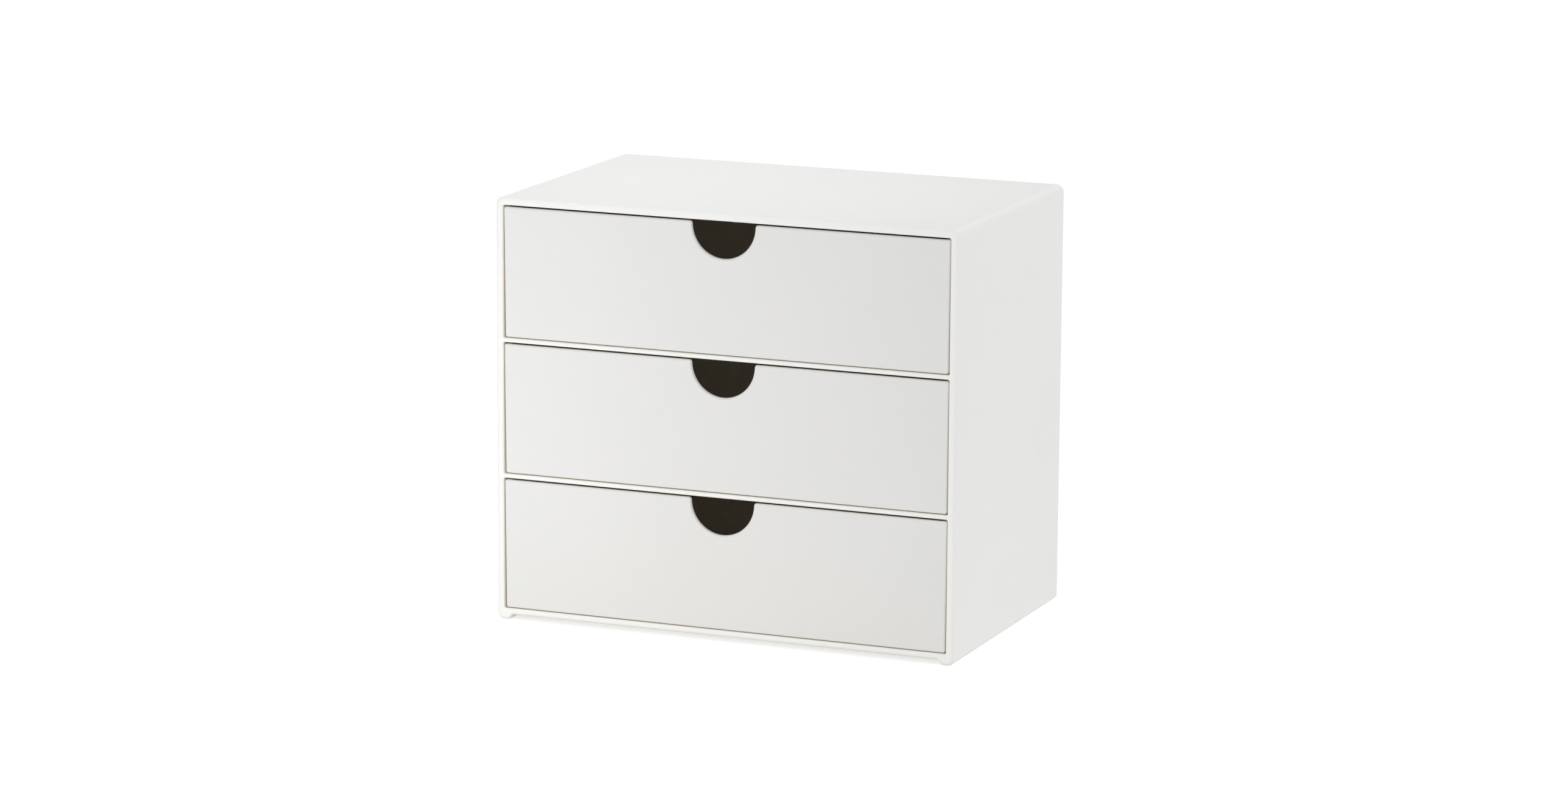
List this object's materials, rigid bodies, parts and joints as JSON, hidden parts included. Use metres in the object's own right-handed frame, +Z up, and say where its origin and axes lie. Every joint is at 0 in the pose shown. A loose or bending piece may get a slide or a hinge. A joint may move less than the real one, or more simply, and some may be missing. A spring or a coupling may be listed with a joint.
{
  "type": "drawer organizer",
  "caption": "White desktop drawer unit: a rounded sleeve on two foot rails with stacked shallow trays that slide out by half-moon finger notches.",
  "frame": {"origin": "middle of the footprint, on the plane that the foot pads stand on", "axes": "+Z up, the drawers open towards -Y, +X to the right as seen from the front"},
  "size_m": [0.33, 0.206, 0.2903],
  "materials": {
    "case_plastic": "satin white moulded plastic",
    "drawer_plastic": "satin warm white moulded plastic",
    "pad_rubber": "soft grey silicone",
    "screw_steel": "zinc plated"
  },
  "bodies": {
    "case": {"outer_sleeve": "case_plastic", "lower_shelf": "case_plastic", "upper_shelf": "case_plastic", "back_panel": "case_plastic", "back_panel_screws": "screw_steel", "front_left_foot_pad": "pad_rubber", "front_right_foot_pad": "pad_rubber", "rear_left_foot_pad": "pad_rubber", "rear_right_foot_pad": "pad_rubber"},
    "bottom_drawer": {"bottom_drawer_tray": "drawer_plastic"},
    "middle_drawer": {"middle_drawer_tray": "drawer_plastic"},
    "top_drawer": {"top_drawer_tray": "drawer_plastic"}
  },
  "joints": [
    {"name": "bottom_drawer_slide", "type": "slide", "parent": "case", "child": "bottom_drawer", "axis": [0, -1, 0], "range_m": [0, 0.15]},
    {"name": "middle_drawer_slide", "type": "slide", "parent": "case", "child": "middle_drawer", "axis": [0, -1, 0], "range_m": [0, 0.15]},
    {"name": "top_drawer_slide", "type": "slide", "parent": "case", "child": "top_drawer", "axis": [0, -1, 0], "range_m": [0, 0.15]}
  ]
}
